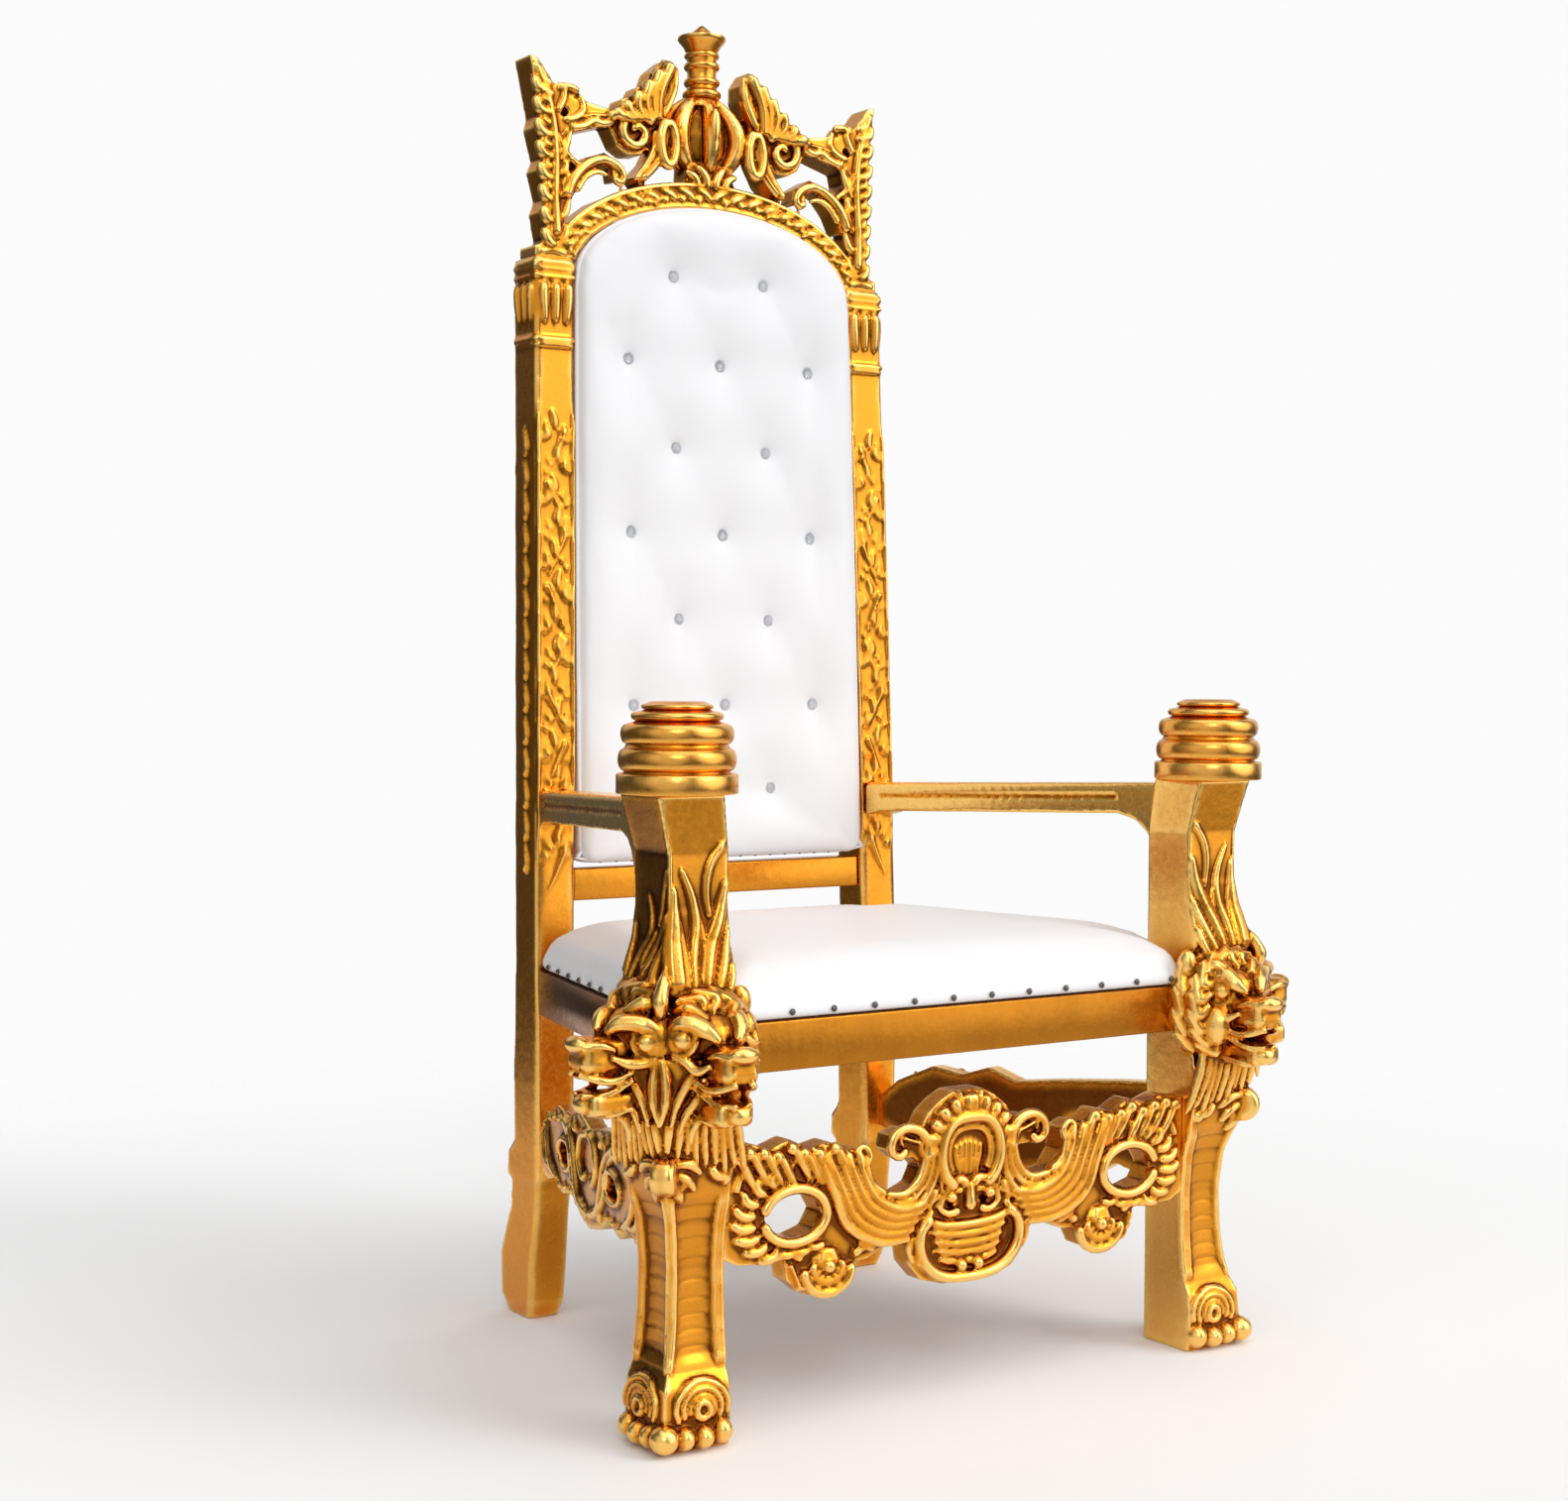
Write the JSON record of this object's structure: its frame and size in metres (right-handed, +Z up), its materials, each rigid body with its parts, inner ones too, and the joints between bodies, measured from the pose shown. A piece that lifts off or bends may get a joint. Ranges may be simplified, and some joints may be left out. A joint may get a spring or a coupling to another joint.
{
  "type": "throne",
  "caption": "Tall carved and gilded ceremonial armchair with lion-headed front posts, pierced crown crest, tufted white back panel and crowned seat pad.",
  "frame": {"origin": "on the floor, at the middle of the bounding box's underside", "axes": "+Z up, the sitter faces -Y, +X to the chair's left-hand side as the sitter sees it"},
  "size_m": [1.1172, 0.8093, 1.829],
  "materials": {
    "gilded_wood": "bright burnished gold leaf over carved wood, darker in the hollows",
    "white_leather": "smooth white leatherette with a soft sheen",
    "crystal": "cut clear crystal buttons"
  },
  "bodies": {
    "root": {"back_post_right": "gilded_wood", "back_post_left": "gilded_wood", "back_panel": "white_leather", "panel_button_01": "crystal", "panel_button_02": "crystal", "panel_button_03": "crystal", "panel_button_04": "crystal", "panel_button_05": "crystal", "panel_button_06": "crystal", "panel_button_07": "crystal", "panel_button_08": "crystal", "panel_button_09": "crystal", "panel_button_10": "crystal", "panel_button_11": "crystal", "panel_button_12": "crystal", "panel_button_13": "crystal", "panel_button_14": "crystal", "panel_button_15": "crystal", "panel_button_16": "crystal", "panel_button_17": "crystal", "back_lower_rail": "gilded_wood", "crest": "gilded_wood", "crown_finial": "gilded_wood", "seat_rail_left": "gilded_wood", "seat_rail_right": "gilded_wood", "seat_rail_front": "gilded_wood", "seat_rail_back": "gilded_wood", "seat_pad": "white_leather", "arm_right": "gilded_wood", "arm_left": "gilded_wood", "front_post_right": "gilded_wood", "front_post_left": "gilded_wood", "cap_left": "gilded_wood", "cap_right": "gilded_wood", "front_apron": "gilded_wood", "side_apron_right": "gilded_wood", "side_apron_left": "gilded_wood"}
  },
  "joints": []
}
